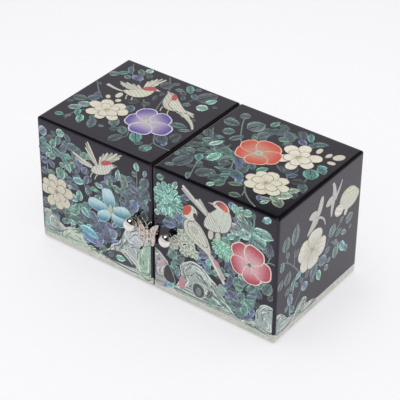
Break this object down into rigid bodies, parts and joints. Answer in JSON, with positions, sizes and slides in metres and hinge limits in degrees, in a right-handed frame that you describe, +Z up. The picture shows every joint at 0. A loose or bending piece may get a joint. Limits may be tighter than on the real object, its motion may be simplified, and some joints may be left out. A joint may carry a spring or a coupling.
{
  "type": "double lacquer box",
  "caption": "Black lacquer jewellery box of twin cubes hinged at the back, with drawers inside, a pearl-inlaid shell, ball knobs and a butterfly clasp.",
  "frame": {"origin": "on the table under the middle of the whole box, knobs and hinges counted", "axes": "+X along the two cubes with the right cube on the positive side, -Y out of the front with the knobs, +Z up"},
  "size_m": [0.2, 0.1136, 0.1002],
  "materials": {
    "black_lacquer": "high-gloss black lacquer over board",
    "mother_of_pearl": "polished shell under clear lacquer",
    "polished_nickel": "mirror polish",
    "clasp_metal": "cast, pale rose-silver plating",
    "hinge_metal": "pressed, nickel plated",
    "plain_steel": "plain zinc plate",
    "drawer_wood": "satin black stain",
    "velvet": "short-pile velvet on card",
    "felt": "thin felt"
  },
  "bodies": {
    "right_half": {"right_front_board": "black_lacquer", "right_back_board": "black_lacquer", "right_bottom_board": "black_lacquer", "right_top_board": "black_lacquer", "right_outer_board": "black_lacquer", "right_shelf": "black_lacquer", "right_pearl_band": "mother_of_pearl", "right_felt_pad": "felt", "right_ball_knob": "polished_nickel", "right_knob_spindle": "plain_steel", "right_hinge_screws": "plain_steel", "upper_hinge_right_leaf": "hinge_metal", "lower_hinge_right_leaf": "hinge_metal", "upper_hinge_pin": "hinge_metal", "lower_hinge_pin": "hinge_metal", "latch_stud": "clasp_metal"},
    "left_half": {"left_front_board": "black_lacquer", "left_back_board": "black_lacquer", "left_bottom_board": "black_lacquer", "left_top_board": "black_lacquer", "left_outer_board": "black_lacquer", "left_shelf": "black_lacquer", "left_pearl_band": "mother_of_pearl", "left_felt_pad": "felt", "left_ball_knob": "polished_nickel", "left_knob_spindle": "plain_steel", "left_hinge_screws": "plain_steel", "upper_hinge_left_leaf": "hinge_metal", "lower_hinge_left_leaf": "hinge_metal", "clasp_fixed_wing": "clasp_metal", "clasp_pin": "clasp_metal", "clasp_nails": "clasp_metal"},
    "clasp_wing": {"clasp_moving_wing": "clasp_metal"},
    "left_upper_drawer": {"left_upper_drawer_front": "black_lacquer", "left_upper_drawer_tray": "drawer_wood", "left_upper_drawer_lining": "velvet", "left_upper_drawer_pull": "polished_nickel", "left_upper_drawer_spindle": "plain_steel"},
    "left_lower_drawer": {"left_lower_drawer_front": "black_lacquer", "left_lower_drawer_tray": "drawer_wood", "left_lower_drawer_lining": "velvet", "left_lower_drawer_pull": "polished_nickel", "left_lower_drawer_spindle": "plain_steel"},
    "right_upper_drawer": {"right_upper_drawer_front": "black_lacquer", "right_upper_drawer_tray": "drawer_wood", "right_upper_drawer_lining": "velvet", "right_upper_drawer_pull": "polished_nickel", "right_upper_drawer_spindle": "plain_steel"},
    "right_lower_drawer": {"right_lower_drawer_front": "black_lacquer", "right_lower_drawer_tray": "drawer_wood", "right_lower_drawer_lining": "velvet", "right_lower_drawer_pull": "polished_nickel", "right_lower_drawer_spindle": "plain_steel"}
  },
  "joints": [
    {"name": "half_swing", "type": "hinge", "parent": "right_half", "child": "left_half", "pos_m": [0, 0.05493, 0], "axis": [0, 0, -1], "range_deg": [0, 180]},
    {"name": "clasp_swing", "type": "hinge", "parent": "left_half", "child": "clasp_wing", "pos_m": [-0.0026, -0.04938, 0], "axis": [0, 0, -1], "range_deg": [0, 110]},
    {"name": "left_upper_drawer_slide", "type": "slide", "parent": "left_half", "child": "left_upper_drawer", "axis": [1, 0, 0], "range_m": [0, 0.033]},
    {"name": "left_lower_drawer_slide", "type": "slide", "parent": "left_half", "child": "left_lower_drawer", "axis": [1, 0, 0], "range_m": [0, 0.033]},
    {"name": "right_upper_drawer_slide", "type": "slide", "parent": "right_half", "child": "right_upper_drawer", "axis": [-1, 0, 0], "range_m": [0, 0.033]},
    {"name": "right_lower_drawer_slide", "type": "slide", "parent": "right_half", "child": "right_lower_drawer", "axis": [-1, 0, 0], "range_m": [0, 0.033]}
  ],
  "couplings": [
    {"joint": "left_upper_drawer_slide", "follows": "half_swing", "m_per_rad": 0.0105},
    {"joint": "left_lower_drawer_slide", "follows": "half_swing", "m_per_rad": 0.0105},
    {"joint": "right_upper_drawer_slide", "follows": "half_swing", "m_per_rad": 0.0105},
    {"joint": "right_lower_drawer_slide", "follows": "half_swing", "m_per_rad": 0.0105}
  ]
}
